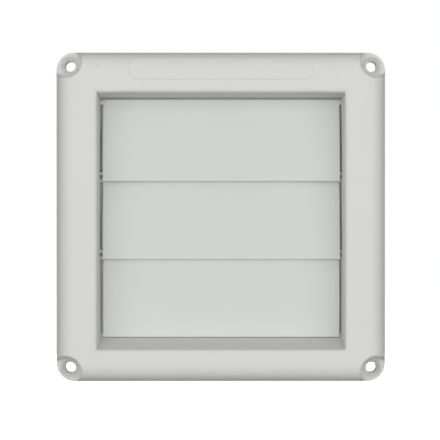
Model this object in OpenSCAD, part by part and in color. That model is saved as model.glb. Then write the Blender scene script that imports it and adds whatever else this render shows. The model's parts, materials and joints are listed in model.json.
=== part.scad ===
// Backdraft louvred vent: a square hollow frame with a duct spigot behind it
// and three flaps that hang from pins in the sides of its recess.
// X runs across, +Y goes back through the wall, Z is up.
// The origin is on the duct's axis, in the plane of the wall.

/* [Frame] */
// Width and height of the square frame
frame_w = 155; // [148:0.5:175]
// Depth from the wall to the front of the border
frame_d = 24; // [22:0.5:30]
// Corner radius of the outline
corner_r = 8.5; // [7:0.5:11]
// Height of the upright rim round the back of the frame
rim_h = 7; // [5:0.5:9]
// Angle at which the outer walls lean in above the rim
edge_lean = 10; // [7:0.5:12]
// Radius of the rounding along the outer edge
edge_r = 8; // [6:0.5:9]
// Wall thickness of the moulding
shell_t = 2.5; // [1.8:0.1:2.8]
// Thickness of the stiffening ribs behind the border
rib_t = 1.6; // [1:0.1:2.4]
// Distance between the ribs
rib_pitch = 36; // [28:1:44]
// How far the ribs stop short of the wall
rib_inset = 1; // [0.5:0.1:3]

/* [Recess] */
// Radius of the lip round the front of the recess
lip_r = 1.85; // [1:0.05:2.4]
// How much each side wall opens out towards the front
side_taper = 0.05; // [0:0.05:1.5]
// How much the top wall rises towards the front
top_rise = 1.2; // [0.2:0.1:3]
// How much the sill falls towards the front
sill_drop = 4.15; // [2:0.05:7]
// Height of the upstand behind the bottom flap
upstand_h = 2.4; // [1:0.1:4]
// Gap between the bottom flap and the sill
sill_gap = 0.4; // [0.3:0.1:1.5]
// Gap between the top flap's upper edge and the top wall
top_gap = 0.65; // [0.3:0.05:1.5]
// Gap at each end of a flap, with the flap centred
end_gap = 1.1; // [0.8:0.05:1.6]
// Gap behind a flap that rests on its stops
stop_gap = 0.3; // [0.2:0.05:0.5]
// Height of the louvres' middle above the frame's middle
louvre_z = -0.5; // [-2:0.1:1]

/* [Screw eyes] */
// Distance from the frame's edge to each screw
screw_inset = 6.3; // [6:0.1:8]
// Diameter of the screw holes
screw_d = 5; // [4:0.1:5.4]
// Diameter of the countersinks
sink_d = 8.6; // [7:0.1:9.2]
// Radius of the round pocket at each screw
eye_r = 7; // [6:0.1:7.6]
// Height of the pocket's floor above the wall
eye_floor = 7; // [5:0.5:9]
// Radius of the boss under the floor
boss_r = 4.8; // [4:0.1:5.6]

/* [Label field] */
// Width of the blank field on the top bar
field_w = 85; // [60:1:100]
// Height of the field
field_h = 10.2; // [6:0.2:12]
// Corner radius of the field
field_r = 4.6; // [2:0.1:5]
// How far the field stands proud
field_t = 0.15; // [0.1:0.05:0.4]
// Distance from the top of the frame to the field's middle
field_inset = 9.1; // [7:0.1:10]

/* [Duct spigot] */
// Outer diameter of the spigot
spigot_d = 98; // [90:0.5:104]
// Length of the spigot behind the wall
spigot_l = 35; // [20:1:60]
// Wall of the spigot
spigot_t = 2; // [1.5:0.1:3]
// Chamfer at the spigot's end
spigot_c = 1; // [0.5:0.1:1.4]
// Thickness of the back plate round the spigot
plate_t = 2; // [1.5:0.1:2.4]
// How far the back plate reaches past the recess walls
plate_lip = 0.8; // [0:0.1:2]

/* [Flaps] */
// Width of a flap
flap_w = 111.8; // [104:0.2:116]
// Distance between the pins of neighbouring flaps
flap_pitch = 36.7; // [34:0.1:38]
// How far a flap's edge reaches below the next pin
flap_overlap = 0.5; // [0.2:0.05:1]
// How far its upper edge stands above its own pins
flap_rise = 1.45; // [1.3:0.05:2]
// Thickness of a flap
flap_t = 1.4; // [1:0.1:1.6]
// Radius of the bow in a flap
bow_r = 250; // [150:5:400]
// Distance from the back plate to the pins' axes
pin_y = 2.2; // [2:0.1:3]
// How far the edge of the upper flaps stands out in front of the axis
edge_out = 3.8; // [3.4:0.1:4.5]
// The same for the bottom flap, which hangs nearly upright
hang_out = 0.4; // [0:0.1:1]
// How far the flaps have slid to the right on their pins
flap_slide = 0.2; // [0:0.05:0.4]

/* [Pins and stops] */
// Radius of the pivot pins
pin_r = 1.2; // [1:0.05:1.25]
// Radial clearance of a pin in its hole
pin_clear = 0.05; // [0.03:0.01:0.1]
// Length of a pin beyond the flap's end
pin_l = 3.2; // [2.6:0.1:4]
// How far a pin's root runs back into the flap
root_l = 1.2; // [1:0.1:6]
// Radius of the stop studs on the side walls
stop_r = 0.8; // [0.6:0.1:1]
// How far a stop stud reaches in from the wall
stop_l = 2.5; // [2.2:0.1:4]
// Height of a stop stud above the next pin
stop_z = 3.1; // [2.8:0.1:5]
// Radius of the sprue mark on a flap's end
sprue_r = 0.6; // [0.3:0.1:0.8]
// Height of the sprue mark
sprue_l = 0.4; // [0.2:0.1:0.5]

/* [Hidden] */
$fn = 96;
over = 1;
bit = 0.01;
bow_facets = 720;
frame_grey = [0.84, 0.843, 0.831];
flap_grey = [0.82, 0.827, 0.816];

half_w = frame_w / 2;
screw_xz = half_w - screw_inset;

// Centre of the rounding in the border's section, [across, depth]
lean_l = (frame_d - rim_h - edge_r * (1 - sin(edge_lean))) / cos(edge_lean);
edge_centre = [
    half_w - lean_l * sin(edge_lean) - edge_r * cos(edge_lean),
    edge_r - frame_d
];

// Pins, from the top down
axis_y = -plate_t - pin_y;
flap_drop = flap_pitch + flap_overlap;
edge_reach = norm([edge_out + flap_t / 2, flap_drop]);
stack_h = top_gap + flap_rise + 2 * flap_pitch + edge_reach + sill_gap;
pin_z_top = louvre_z + stack_h / 2 - top_gap - flap_rise;
pin_z = [for (i = [0:2]) pin_z_top - i * flap_pitch];

// Recess: sizes at its deep end, then at the front
deep_x = flap_w / 2 + end_gap;
deep_top = pin_z[0] + flap_rise + top_gap;
deep_bottom = pin_z[2] - edge_reach - sill_gap;
front_x = deep_x + side_taper;
front_top = deep_top + top_rise;
front_bottom = deep_bottom - sill_drop;
deep_y = -plate_t;
lip_crease = 8;
sill_y = axis_y - hang_out - flap_t;
upstand_y = axis_y - hang_out + flap_t / 2 + stop_gap;
side_angle = atan(side_taper / (frame_d + deep_y));
top_angle = atan(top_rise / (frame_d + deep_y));
sill_angle = atan(sill_drop / (frame_d + sill_y));

// Flap section: an arc from the upper to the lower edge, in [Y, Z] from the pin
flap_start = [0, flap_rise - flap_t / 2];
flap_end = [-edge_out, -flap_drop];
flap_chord = norm(flap_end - flap_start);
chord_normal = [flap_start.y - flap_end.y, flap_end.x - flap_start.x] / flap_chord;
bow_centre = (flap_start + flap_end) / 2 + chord_normal * sqrt(pow(bow_r, 2) - pow(flap_chord / 2, 2));
bow_middle = bow_centre - chord_normal * bow_r;
hang_angle = asin((edge_out - hang_out) / flap_drop);

// Back of the closed upper flaps at the height of a stop stud
stop_drop = flap_pitch - stop_z;
stop_back = bow_centre.x - sqrt(pow(bow_r - flap_t / 2, 2) - pow(stop_drop + bow_centre.y, 2));
stop_y = axis_y + stop_back + stop_gap + stop_r;

// Carries a section drawn in [Y, Z] along X, centred
module along_x(length) {
    translate([-length / 2, 0, 0])
        rotate([90, 0, 90])
            linear_extrude(length) children();
}

// Carries a section drawn in [X, Y] along Z, centred
module along_z(length) {
    translate([0, 0, -length / 2])
        linear_extrude(length) children();
}

// Carries a front view drawn in [X, Z] from depth y0 to y1
module along_y(y0, y1) {
    translate([0, y1, 0])
        rotate([90, 0, 0])
            linear_extrude(y1 - y0) children();
}

module bar_x(radius, length) {
    translate([-length / 2, 0, 0])
        rotate([0, 90, 0])
            cylinder(r = radius, h = length);
}

module drum_y(radius, y0, y1) {
    translate([0, y1, 0])
        rotate([90, 0, 0])
            cylinder(r = radius, h = y1 - y0);
}

module rounded_rect(w, h, r) {
    square([w - 2 * r, h], center = true);
    square([w, h - 2 * r], center = true);
    for (x = [-1, 1], z = [-1, 1])
        translate([x * (w / 2 - r), z * (h / 2 - r)]) circle(r);
}

module at_screws() {
    for (x = [-1, 1], z = [-1, 1])
        translate([x * screw_xz, 0, z * screw_xz]) children();
}

// Section across the border: upright rims, leaning walls, rounded edges
module crown_section(inset, tail) {
    r = edge_r - inset;
    rim_x = half_w - inset;
    rim_y = inset * tan(edge_lean / 2) - rim_h;
    touch = edge_centre + r * [cos(edge_lean), -sin(edge_lean)];
    polygon([
        [-rim_x, tail],
        [rim_x, tail],
        [rim_x, rim_y],
        touch,
        [edge_centre.x, inset - frame_d],
        [-edge_centre.x, inset - frame_d],
        [-touch.x, touch.y],
        [-rim_x, rim_y]
    ]);
    for (x = [-1, 1]) translate([x * edge_centre.x, edge_centre.y]) circle(r);
}

// The pillow shape of the border, filled in
module crown(inset, tail = 0) {
    length = frame_w + 2 * over;
    intersection() {
        along_z(length) crown_section(inset, tail);
        along_x(length) mirror([1, -1]) crown_section(inset, tail);
        along_y(-frame_d - over, over)
            rounded_rect(frame_w - 2 * inset, frame_w - 2 * inset, corner_r - inset);
    }
}

// What the lip takes off a wall that leans by `angle`:
// x runs into the border, y runs back from the front, from the wall's front end
module lip_cut(angle) {
    centre = lip_r * cos(lip_crease) * [(1 - sin(angle)) / cos(angle), 1];
    inner = centre - (lip_r + over) * [cos(angle), sin(angle)];
    difference() {
        polygon([centre, inner, [inner.x, -over], [centre.x, -over]]);
        translate(centre) circle(lip_r);
    }
}

module recess_plan() {
    polygon([
        [-deep_x, deep_y],
        [deep_x, deep_y],
        [front_x + over * tan(side_angle), -frame_d - over],
        [-front_x - over * tan(side_angle), -frame_d - over]
    ]);
    for (side = [0, 1])
        mirror([side, 0]) translate([front_x, -frame_d]) lip_cut(side_angle);
}

module recess_section() {
    polygon([
        [deep_y, deep_top],
        [-frame_d - over, front_top + over * tan(top_angle)],
        [-frame_d - over, front_bottom - over * tan(sill_angle)],
        [sill_y, deep_bottom],
        [upstand_y, deep_bottom],
        [upstand_y, deep_bottom + upstand_h],
        [deep_y, deep_bottom + upstand_h]
    ]);
    translate([-frame_d, front_top]) mirror([1, -1]) lip_cut(top_angle);
    translate([-frame_d, front_bottom]) mirror([0, 1]) mirror([1, -1]) lip_cut(sill_angle);
}

module recess() {
    length = frame_w;
    intersection() {
        along_z(length) recess_plan();
        along_x(length) recess_section();
    }
}

// Walls of the recess before it is hollowed out
module tub() {
    length = frame_w;
    front = shell_t / 2 - frame_d;
    intersection() {
        along_z(length)
            polygon([
                [-deep_x - shell_t, 0],
                [deep_x + shell_t, 0],
                [front_x + shell_t, front],
                [-front_x - shell_t, front]
            ]);
        along_x(length)
            polygon([
                [0, deep_top + shell_t],
                [front, front_top + shell_t],
                [front, front_bottom - shell_t],
                [sill_y, deep_bottom - shell_t],
                [0, deep_bottom - shell_t]
            ]);
    }
}

module back_plate() {
    reach = shell_t + plate_lip;
    along_y(-plate_t, 0)
        translate([0, (deep_top + deep_bottom) / 2])
            square([2 * (deep_x + reach), deep_top - deep_bottom + 2 * reach], center = true);
}

module ribs() {
    intersection() {
        crown(shell_t / 2);
        translate([0, -frame_d, 0])
            for (i = [-1:1]) {
                translate([i * rib_pitch - rib_t / 2, 0, -half_w])
                    cube([rib_t, frame_d - rib_inset, frame_w]);
                translate([-half_w, 0, i * rib_pitch - rib_t / 2])
                    cube([frame_w, frame_d - rib_inset, rib_t]);
            }
    }
}

// Cup round each screw: a pocket wall, its floor and a boss down to the wall
module eyes() {
    intersection() {
        crown(0);
        at_screws() {
            drum_y(eye_r + shell_t, -frame_d, shell_t - eye_floor);
            drum_y(boss_r, -eye_floor, 0);
        }
    }
}

module eye_cuts() {
    sink_depth = (sink_d - screw_d) / 2;
    at_screws() {
        drum_y(eye_r, -frame_d - over, -eye_floor);
        drum_y(screw_d / 2, -eye_floor - over, over);
        translate([0, -eye_floor - bit, 0])
            rotate([-90, 0, 0])
                cylinder(d1 = sink_d + 2 * bit, d2 = screw_d, h = sink_depth + bit);
    }
}

module label_field() {
    intersection() {
        crown(-field_t);
        along_y(-frame_d - over, -frame_d / 2)
            translate([0, half_w - field_inset]) rounded_rect(field_w, field_h, field_r);
    }
}

module spigot() {
    drum_y(spigot_d / 2, -plate_t, spigot_l - spigot_c);
    translate([0, spigot_l - spigot_c, 0])
        rotate([-90, 0, 0])
            cylinder(d1 = spigot_d, d2 = spigot_d - 2 * spigot_c, h = spigot_c);
}

module pin_holes() {
    for (z = pin_z, side = [-1, 1])
        translate([side * (front_x + shell_t / 2), axis_y, z])
            bar_x(pin_r + pin_clear, 2 * shell_t);
}

module stop_studs() {
    length = stop_l + shell_t / 2;
    for (i = [1, 2], side = [-1, 1])
        translate([side * (deep_x + shell_t / 2 - length / 2), stop_y, pin_z[i] + stop_z])
            bar_x(stop_r, length);
}

module frame() {
    color(frame_grey) {
        difference() {
            union() {
                difference() {
                    crown(0);
                    crown(shell_t, over);
                }
                tub();
                back_plate();
                ribs();
                eyes();
                label_field();
                spigot();
            }
            recess();
            eye_cuts();
            pin_holes();
            drum_y(spigot_d / 2 - spigot_t, -plate_t - over, spigot_l + over);
        }
        stop_studs();
    }
}

// Plate with a rounded upper and a square lower edge
module flap_section() {
    reach = 2 * bow_r;
    top_dir = (flap_start - bow_centre) / bow_r;
    edge_dir = (flap_end - bow_centre) / bow_r;
    intersection() {
        difference() {
            translate(bow_centre) circle(bow_r + flap_t / 2, $fn = bow_facets);
            translate(bow_centre) circle(bow_r - flap_t / 2, $fn = bow_facets);
        }
        polygon([bow_centre, bow_centre + reach * top_dir, bow_centre + reach * edge_dir]);
    }
    translate(flap_start) circle(flap_t / 2);
}

// One flap, hung from the pins at height z and turned back by `angle`,
// with its sprue mark on the right (1) or left (-1)
module flap(z, angle, sprue_side) {
    translate([flap_slide, axis_y, z])
        rotate([angle, 0, 0]) {
            along_x(flap_w) flap_section();
            for (side = [-1, 1])
                translate([side * (flap_w + pin_l - root_l) / 2, 0, 0])
                    bar_x(pin_r, pin_l + root_l);
            translate([sprue_side * flap_w / 2, bow_middle.x, bow_middle.y])
                bar_x(sprue_r, 2 * sprue_l);
        }
}

module flap_top() {
    color(flap_grey) flap(pin_z[0], 0, 1);
}

module flap_middle() {
    color(flap_grey) flap(pin_z[1], 0, -1);
}

module flap_bottom() {
    color(flap_grey) flap(pin_z[2], hang_angle, 1);
}

frame();
flap_top();
flap_middle();
flap_bottom();
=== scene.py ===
import json
import math
import bpy
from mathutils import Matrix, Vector


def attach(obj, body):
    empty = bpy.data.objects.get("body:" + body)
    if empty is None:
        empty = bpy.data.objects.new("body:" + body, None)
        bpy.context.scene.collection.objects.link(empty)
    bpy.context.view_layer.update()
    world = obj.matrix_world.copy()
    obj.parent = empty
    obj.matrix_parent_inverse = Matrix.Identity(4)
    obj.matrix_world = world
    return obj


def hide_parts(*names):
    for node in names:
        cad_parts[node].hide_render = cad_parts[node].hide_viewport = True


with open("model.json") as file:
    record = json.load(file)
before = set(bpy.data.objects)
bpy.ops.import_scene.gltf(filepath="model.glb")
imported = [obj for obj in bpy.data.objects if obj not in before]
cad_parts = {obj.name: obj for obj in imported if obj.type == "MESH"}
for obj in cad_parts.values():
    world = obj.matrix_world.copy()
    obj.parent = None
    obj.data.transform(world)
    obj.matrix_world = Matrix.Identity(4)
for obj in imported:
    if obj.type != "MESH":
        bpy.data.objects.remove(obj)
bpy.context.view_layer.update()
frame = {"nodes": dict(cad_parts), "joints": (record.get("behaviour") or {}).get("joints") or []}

scene = bpy.context.scene
cadNodes = frame["nodes"]
hinges = {joint["child"]: Vector(joint["pos_m"]) for joint in frame["joints"]}
print("frame loaded:", sorted(cadNodes))


# in every node tree below, a plain value is set and another node's output is linked
def plug(tree, socket, value):
    if isinstance(value, bpy.types.NodeSocket):
        tree.links.new(value, socket)
    else:
        socket.default_value = value


def addNode(tree, kind, **sockets):
    node = tree.nodes.new(kind)
    for name, value in sockets.items():
        plug(tree, node.inputs[name.replace("_", " ")], value)
    return node


def addMaths(tree, operation, *values):
    node = tree.nodes.new("ShaderNodeMath")
    node.operation = operation
    for socket, value in zip(node.inputs, values):
        plug(tree, socket, value)
    return node.outputs[0]


# camera, square on as in the photograph
camera = {
    "distance": 0.640,             # from the border's front plane
    "offAxis": -0.003,             # how far left of the vent's middle it stands
    "frontPlane": -0.024,
    "sensorWidth": 36.0,           # millimetres
    "focalPixels": 1392.0,
    "framePixels": 440.0,
    "middleAt": (220.8, 216.95),   # where the vent's middle lands in the frame
}


def makeCamera(c):
    data = bpy.data.cameras.new("ventCamera")
    data.sensor_width = c["sensorWidth"]
    data.lens = data.sensor_width * c["focalPixels"] / c["framePixels"]
    eye = bpy.data.objects.new("ventCamera", data)
    scene.collection.objects.link(eye)
    eye.location = (c["offAxis"], c["frontPlane"] - c["distance"], 0.0)
    toMiddle = -c["offAxis"] / (c["distance"] - c["frontPlane"])
    rightBy = (c["middleAt"][0] - c["framePixels"] / 2) / c["focalPixels"]
    upBy = (c["framePixels"] / 2 - c["middleAt"][1]) / c["focalPixels"]
    aim = Vector((toMiddle - rightBy, 1.0, -upBy))
    eye.rotation_mode = "QUATERNION"
    eye.rotation_quaternion = aim.to_track_quat("-Z", "Y")
    scene.camera = eye


makeCamera(camera)
print("camera placed")

# soft light from the front, most of it in a wide band at the camera's height,
# and one weak lamp behind
studio = {
    "floorDrop": -0.26,            # height of the floor under the vent's middle
    "floorSize": 8.0,
    "floorTone": (0.45, 0.45, 0.445),
    "floorLift": 0.95,             # keeps the pale floor white to the camera
    "air": (1.0, 1.0, 1.0),
    "airLevel": 0.24,
    "backdrop": (1.0, 1.0, 1.0),   # what the camera and reflections see
    "backdropLevel": 1.0,
    "lamps": (                     # name, width and height, place, power
        ("bandLamp", (3.0, 0.40), (0.0, -1.20, 0.0), 10.5),
        ("highLamp", (3.0, 0.40), (0.0, -1.13, 0.42), 3.6),
        ("topLamp", (1.2, 0.80), (0.0, -0.80, 1.10), 0.7),
        ("nearLamp", (0.9, 0.50), (0.0, -1.60, 0.05), 3.8),
        ("rearLamp", (0.5, 0.50), (0.0, 2.00, 0.0), 11.0),
    ),
}


def addLightPath(tree):
    # 1 for the rays that see the pale background, 0 for those that only light
    path = tree.nodes.new("ShaderNodeLightPath")
    seen = path.outputs["Is Camera Ray"]
    for ray in ("Is Glossy Ray", "Is Transmission Ray"):
        seen = addMaths(tree, "MAXIMUM", seen, path.outputs[ray])
    return seen


def makeAir(s):
    world = bpy.data.worlds.new("studioAir")
    scene.world = world
    world.use_nodes = True
    tree = world.node_tree
    tree.nodes.clear()
    soft = addNode(tree, "ShaderNodeBackground", Color=(*s["air"], 1.0),
                   Strength=s["airLevel"])
    white = addNode(tree, "ShaderNodeBackground", Color=(*s["backdrop"], 1.0),
                    Strength=s["backdropLevel"])
    mix = addNode(tree, "ShaderNodeMixShader", Fac=addLightPath(tree))
    tree.links.new(soft.outputs[0], mix.inputs[1])
    tree.links.new(white.outputs[0], mix.inputs[2])
    addNode(tree, "ShaderNodeOutputWorld", Surface=mix.outputs[0])


def makeLamp(name, size, place, power):
    data = bpy.data.lights.new(name, "AREA")
    data.shape = "RECTANGLE"
    data.size, data.size_y = size
    data.energy = power
    lamp = bpy.data.objects.new(name, data)
    scene.collection.objects.link(lamp)
    lamp.location = place
    lamp.rotation_mode = "QUATERNION"
    lamp.rotation_quaternion = (-Vector(place)).to_track_quat("-Z", "Y")
    lamp.visible_camera = False
    lamp.visible_glossy = place[1] < 0.0    # the lamp behind leaves no glints


def makeFloor(s):
    half = s["floorSize"] / 2
    mesh = bpy.data.meshes.new("studioFloor")
    corners = ((-half, -half), (half, -half), (half, half), (-half, half))
    mesh.from_pydata([(x, y, s["floorDrop"]) for x, y in corners], [], [(0, 1, 2, 3)])
    floor = bpy.data.objects.new("studioFloor", mesh)
    scene.collection.objects.link(floor)
    paint = bpy.data.materials.new("paleFloor")
    paint.use_nodes = True
    tree = paint.node_tree
    tree.nodes.clear()
    diffuse = addNode(tree, "ShaderNodeBsdfDiffuse", Color=(*s["floorTone"], 1.0))
    lift = addMaths(tree, "MULTIPLY", addLightPath(tree), s["floorLift"])
    glow = addNode(tree, "ShaderNodeEmission", Strength=lift)
    both = tree.nodes.new("ShaderNodeAddShader")
    tree.links.new(diffuse.outputs[0], both.inputs[0])
    tree.links.new(glow.outputs[0], both.inputs[1])
    addNode(tree, "ShaderNodeOutputMaterial", Surface=both.outputs[0])
    mesh.materials.append(paint)


makeAir(studio)
for lamp in studio["lamps"]:
    makeLamp(*lamp)
makeFloor(studio)
scene.view_settings.view_transform = "Standard"
print("studio lit")

# satin grey plastic: slow drifts of tone, a fine moulded grain, softened edges
plastic = {
    "tones": ((0.672, 0.675, 0.661), (0.690, 0.692, 0.680)),
    "flapTones": ((0.641, 0.646, 0.635), (0.648, 0.667, 0.654)),
    "roughness": (0.50, 0.62),
    "specular": 0.15,
    "grain": 2600.0,               # fine moulded grain, per metre
    "grainDepth": 0.000012,
    "grainStrength": 0.6,
    "grainSpan": (0.3, 0.7),       # of the grain's height, for the roughness
    "drift": 38.0,                 # drifts of tone from the melt, per metre
    "driftDetail": 3.0,
    "ripple": 120.0,
    "rippleDepth": 0.00006,
    "rippleStrength": 0.35,
    "detail": 2.0,                 # of the grain and the ripple
    "seedSpread": (1.0, 0.7, -1.0),    # how a seed shifts the patterns
    "edgeSoftness": 0.0006,
    "edgeSamples": 6,
}

# where the border and the bottom flap carry a small dark speck in the melt
specks = {
    "places": ((-0.0566, 0.0694), (-0.0396, 0.0639), (-0.0260, -0.0423)),
    "reach": (0.0011, 0.0011, 0.0012),
    "strength": (0.70, 0.30, 0.30),
    "tone": (0.50, 0.50, 0.48),
}

# the rims of the round pockets at the screws are rounded more than other edges,
# the edges of the holes in them less
pocketRims = {
    "screwAt": 0.0712,             # from the middle, across and up
    "reach": (0.0080, 0.0092),     # full softness inside, none outside
    "holeReach": (0.0048, 0.0056),
    "behind": -0.0090,             # depth behind which edges stay crisp
    "softness": 0.0011,
    "holeSoftness": 0.0002,
}


def makePlastic(name, p, tones, seed=0.0, rims=None, marks=None, softness=0.0):
    paint = bpy.data.materials.new(name)
    paint.use_nodes = True
    tree = paint.node_tree
    tree.nodes.clear()
    place = tree.nodes.new("ShaderNodeTexCoord").outputs["Object"]
    shifted = addNode(tree, "ShaderNodeMapping", Vector=place,
                      Location=[seed * s for s in p["seedSpread"]]).outputs["Vector"]

    def noise(scale, detail):
        return addNode(tree, "ShaderNodeTexNoise", Vector=shifted, Scale=scale,
                       Detail=detail).outputs["Fac"]

    def ramp(value, low, high, atLow, atHigh):
        m = addNode(tree, "ShaderNodeMapRange", Value=value, From_Min=low,
                    From_Max=high, To_Min=atLow, To_Max=atHigh)
        m.interpolation_type = "SMOOTHSTEP"
        return m.outputs["Result"]

    def mixTone(factor, first, second):
        m = tree.nodes.new("ShaderNodeMix")
        m.data_type = "RGBA"
        plug(tree, m.inputs["Factor"], factor)
        for socket, tone in (("A", first), ("B", second)):
            if isinstance(tone, tuple):
                tone = (*tone, 1.0)
            plug(tree, m.inputs[socket], tone)
        return m.outputs["Result"]

    def vector(operation, *values):
        v = tree.nodes.new("ShaderNodeVectorMath")
        v.operation = operation
        for socket, value in zip(v.inputs, values):
            plug(tree, socket, value)
        return v.outputs["Value" if operation == "LENGTH" else "Vector"]

    def edgeRadius():
        if not rims:
            return softness
        screw = (rims["screwAt"], 0.0, rims["screwAt"])
        away = vector("LENGTH", vector("SUBTRACT", vector("ABSOLUTE", flat), screw))
        depth = addNode(tree, "ShaderNodeSeparateXYZ", Vector=place).outputs["Y"]
        onRim = addMaths(tree, "MULTIPLY", ramp(away, *rims["reach"], 1.0, 0.0),
                         addMaths(tree, "LESS_THAN", depth, rims["behind"]))
        atRim = ramp(onRim, 0.0, 1.0, softness, rims["softness"])
        atHole = ramp(away, *rims["holeReach"], rims["holeSoftness"], rims["softness"])
        return addMaths(tree, "MINIMUM", atRim, atHole)

    flat = vector("MULTIPLY", place, (1.0, 0.0, 1.0))
    tone = mixTone(noise(p["drift"], p["driftDetail"]), *tones)
    if marks:
        for (x, z), reach, strength in zip(marks["places"], marks["reach"],
                                           marks["strength"]):
            away = vector("LENGTH", vector("SUBTRACT", flat, (x, 0.0, z)))
            tone = mixTone(ramp(away, 0.0, reach, strength, 0.0), tone, marks["tone"])

    grain = noise(p["grain"], p["detail"])
    wavy = addNode(tree, "ShaderNodeBump", Distance=p["rippleDepth"],
                   Strength=p["rippleStrength"], Height=noise(p["ripple"], p["detail"]))
    fine = addNode(tree, "ShaderNodeBump", Distance=p["grainDepth"],
                   Strength=p["grainStrength"], Height=grain,
                   Normal=wavy.outputs["Normal"])
    if softness:
        edge = addNode(tree, "ShaderNodeBevel", Radius=edgeRadius())
        edge.samples = p["edgeSamples"]
        tree.links.new(edge.outputs["Normal"], wavy.inputs["Normal"])
    body = addNode(tree, "ShaderNodeBsdfPrincipled", Base_Color=tone,
                   Roughness=ramp(grain, *p["grainSpan"], *p["roughness"]),
                   Specular_IOR_Level=p["specular"], Normal=fine.outputs["Normal"])
    addNode(tree, "ShaderNodeOutputMaterial", Surface=body.outputs["BSDF"])
    return paint


framePaint = makePlastic("framePlastic", plastic, plastic["tones"], rims=pocketRims,
                         marks=specks, softness=plastic["edgeSoftness"])
cadNodes["frame"].data.materials.clear()
cadNodes["frame"].data.materials.append(framePaint)
print("frame painted")

# one flap: a thin bowed plate with a pin at each end and a small sprue mark
flap = {
    "width": 0.1118,
    "thickness": 0.0014,
    "bowRadius": 0.250,
    "rise": 0.00145,               # of the upper edge above the pins
    "drop": 0.0372,                # of the lower edge below the pins
    "edgeOut": 0.0038,             # of the lower edge in front of the pins
    "hangOut": 0.0004,             # the same for the bottom flap
    "slide": 0.0002,               # how far the flaps have slid to the right
    "pinRadius": 0.0012,
    "pinLength": 0.0032,
    "pinRoot": 0.0012,             # how far a pin runs back into the plate
    "pinSides": 40,
    "sprueRadius": 0.0006,
    "sprueHeight": 0.0004,
    "rows": 49,
    "weld": 0.000001,
    "sharpAngle": 0.9,             # radians between faces at an edge to be rounded
    "rounding": 0.00065,           # along the upper edge
    "otherRounding": 0.25,         # of the other edges, as a share of it
    "roundingSteps": 4,
}


def flapBow(f):
    # centre of the bow and the angles of its lower and upper ends, in (Y, Z)
    start = Vector((0.0, f["rise"] - f["thickness"] / 2))
    end = Vector((-f["edgeOut"], -f["drop"]))
    chord = start - end
    outward = Vector((chord.y, -chord.x)).normalized()
    height = math.sqrt(f["bowRadius"] ** 2 - (chord.length / 2) ** 2)
    centre = (start + end) / 2 + outward * height
    upper, lower = start - centre, end - centre
    past = f["thickness"] / 2 / f["bowRadius"]
    return centre, math.atan2(lower.y, lower.x) % math.tau, \
        math.atan2(upper.y, upper.x) % math.tau - past


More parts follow.
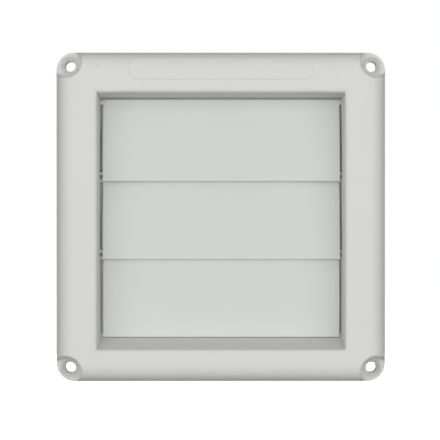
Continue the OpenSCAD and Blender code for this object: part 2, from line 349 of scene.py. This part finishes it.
def makeFlapTree(f):
    tree = bpy.data.node_groups.new("flapTree", "GeometryNodeTree")
    for name, kind in (
            ("Width", "Float"), ("Thickness", "Float"), ("Bow Radius", "Float"),
            ("Bow Centre Y", "Float"), ("Bow Centre Z", "Float"),
            ("Lower Angle", "Float"), ("Upper Angle", "Float"), ("Rows", "Int"),
            ("Pin Radius", "Float"), ("Pin Length", "Float"), ("Pin Root", "Float"),
            ("Sprue Radius", "Float"), ("Sprue Height", "Float"),
            ("Sprue Place", "Vector"), ("Upper Edge", "Float"),
            ("Other Rounding", "Float"), ("Hang", "Rotation"), ("Place", "Vector"),
            ("Material", "Material")):
        tree.interface.new_socket(name=name, in_out="INPUT",
                                  socket_type="NodeSocket" + kind)
    tree.interface.new_socket(name="Geometry", in_out="OUTPUT",
                              socket_type="NodeSocketGeometry")
    given = tree.nodes.new("NodeGroupInput").outputs
    link = tree.links.new

    def node(kind, **sockets):
        return addNode(tree, kind, **sockets)

    def maths(operation, *values):
        return addMaths(tree, operation, *values)

    def point(x, y, z):
        return node("ShaderNodeCombineXYZ", X=x, Y=y, Z=z).outputs[0]

    def position(axis):
        here = tree.nodes.new("GeometryNodeInputPosition").outputs[0]
        return node("ShaderNodeSeparateXYZ", Vector=here).outputs[axis]

    # plate: a grid laid on the back of the bow, then thickened to the front
    sheet = node("GeometryNodeMeshGrid", Size_X=1.0, Size_Y=1.0, Vertices_X=2,
                 Vertices_Y=given["Rows"]).outputs["Mesh"]
    turn = node("ShaderNodeMapRange", Value=position("Y"), From_Min=-0.5, From_Max=0.5,
                To_Min=given["Lower Angle"],
                To_Max=given["Upper Angle"]).outputs["Result"]
    radius = maths("SUBTRACT", given["Bow Radius"],
                   maths("DIVIDE", given["Thickness"], 2.0))
    onBow = point(
        maths("MULTIPLY", position("X"), given["Width"]),
        maths("ADD", given["Bow Centre Y"],
              maths("MULTIPLY", radius, maths("COSINE", turn))),
        maths("ADD", given["Bow Centre Z"],
              maths("MULTIPLY", radius, maths("SINE", turn))))
    back = node("GeometryNodeSetPosition", Geometry=sheet, Position=onBow).outputs[0]
    front = node("GeometryNodeExtrudeMesh", Mesh=back, Offset_Scale=given["Thickness"],
                 Individual=False).outputs["Mesh"]
    turned = node("GeometryNodeFlipFaces", Mesh=back).outputs[0]
    shell = tree.nodes.new("GeometryNodeJoinGeometry")
    link(front, shell.inputs[0])
    link(turned, shell.inputs[0])
    plate = node("GeometryNodeMergeByDistance", Geometry=shell.outputs[0],
                 Distance=f["weld"]).outputs[0]

    # how much each sharp edge is rounded: fully along the top, less elsewhere
    angle = tree.nodes.new("GeometryNodeInputMeshEdgeAngle").outputs["Unsigned Angle"]
    sharp = maths("GREATER_THAN", angle, f["sharpAngle"])
    atTop = maths("GREATER_THAN", position("Z"), given["Upper Edge"])
    weight = maths("MULTIPLY", sharp, maths("MAXIMUM", atTop, given["Other Rounding"]))
    marked = tree.nodes.new("GeometryNodeStoreNamedAttribute")
    marked.data_type, marked.domain = "FLOAT", "EDGE"
    marked.inputs["Name"].default_value = "bevel_weight_edge"
    link(plate, marked.inputs["Geometry"])
    link(weight, marked.inputs["Value"])

    def rod(radiusIn, depth):
        upright = node("GeometryNodeMeshCylinder", Vertices=f["pinSides"],
                       Radius=radiusIn, Depth=depth)
        return node("GeometryNodeTransform", Geometry=upright.outputs["Mesh"],
                    Rotation=(0.0, math.pi / 2, 0.0)).outputs[0]

    # a pin at each end, on a line of two points
    pin = rod(given["Pin Radius"], maths("ADD", given["Pin Length"], given["Pin Root"]))
    span = maths("SUBTRACT", maths("ADD", given["Width"], given["Pin Length"]),
                 given["Pin Root"])
    ends = node("GeometryNodeMeshLine", Count=2,
                Start_Location=point(maths("MULTIPLY", span, -0.5), 0.0, 0.0),
                Offset=point(span, 0.0, 0.0)).outputs[0]
    pins = node("GeometryNodeInstanceOnPoints", Points=ends, Instance=pin).outputs[0]
    sprue = node("GeometryNodeTransform",
                 Geometry=rod(given["Sprue Radius"],
                              maths("MULTIPLY", given["Sprue Height"], 2.0)),
                 Translation=given["Sprue Place"]).outputs[0]

    whole = tree.nodes.new("GeometryNodeJoinGeometry")
    for part in (marked.outputs[0], pins, sprue):
        link(part, whole.inputs[0])
    hung = node("GeometryNodeTransform", Geometry=whole.outputs[0],
                Rotation=given["Hang"], Translation=given["Place"]).outputs[0]
    solid = node("GeometryNodeRealizeInstances", Geometry=hung).outputs[0]
    smooth = node("GeometryNodeSetShadeSmooth", Geometry=solid,
                  Shade_Smooth=True).outputs[0]
    dressed = node("GeometryNodeSetMaterial", Geometry=smooth,
                   Material=given["Material"])
    result = tree.nodes.new("NodeGroupOutput")
    link(dressed.outputs[0], result.inputs[0])
    return tree


def makeFlap(name, tree, f, sprueSide, hang, paint):
    centre, lowerAngle, upperAngle = flapBow(f)
    middle = (lowerAngle + upperAngle) / 2
    spruePlace = (sprueSide * f["width"] / 2,
                  centre.x + f["bowRadius"] * math.cos(middle),
                  centre.y + f["bowRadius"] * math.sin(middle))
    values = {
        "Width": f["width"], "Thickness": f["thickness"],
        "Bow Radius": f["bowRadius"], "Bow Centre Y": centre.x,
        "Bow Centre Z": centre.y, "Lower Angle": lowerAngle,
        "Upper Angle": upperAngle, "Rows": f["rows"],
        "Pin Radius": f["pinRadius"], "Pin Length": f["pinLength"],
        "Pin Root": f["pinRoot"], "Sprue Radius": f["sprueRadius"],
        "Sprue Height": f["sprueHeight"], "Sprue Place": spruePlace,
        "Upper Edge": f["rise"] - f["thickness"] / 4,    # edges above it are the top's
        "Other Rounding": f["otherRounding"], "Hang": (hang, 0.0, 0.0),
        "Place": tuple(hinges[name] + Vector((f["slide"], 0.0, 0.0))),
        "Material": paint,
    }
    source = bpy.data.objects.new(name + "Source", bpy.data.meshes.new(name + "Source"))
    scene.collection.objects.link(source)
    grow = source.modifiers.new("grow", "NODES")
    grow.node_group = tree
    for item in tree.interface.items_tree:
        if item.in_out == "INPUT":
            grow[item.identifier] = values[item.name]
    soften = source.modifiers.new("soften", "BEVEL")
    soften.limit_method = "WEIGHT"
    soften.width = f["rounding"]
    soften.segments = f["roundingSteps"]
    soften.use_clamp_overlap = False
    soften.harden_normals = True
    bpy.context.view_layer.update()
    shape = bpy.data.meshes.new_from_object(
        source.evaluated_get(bpy.context.evaluated_depsgraph_get()))
    bpy.data.objects.remove(source)
    shape.name = name + "Plate"
    piece = bpy.data.objects.new(name + "Plate", shape)
    scene.collection.objects.link(piece)
    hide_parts(name)
    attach(piece, name)
    print(name, "made,", len(shape.polygons), "faces")


flapTree = makeFlapTree(flap)
swungBack = math.asin((flap["edgeOut"] - flap["hangOut"]) / flap["drop"])
firstSeed = 1.7
for order, (name, sprueSide, hang) in enumerate((
        ("flap_top", 1, 0.0), ("flap_middle", -1, 0.0), ("flap_bottom", 1, swungBack))):
    paint = makePlastic(name + "Plastic", plastic, plastic["flapTones"],
                        seed=firstSeed + order, marks=specks)
    makeFlap(name, flapTree, flap, sprueSide, hang, paint)
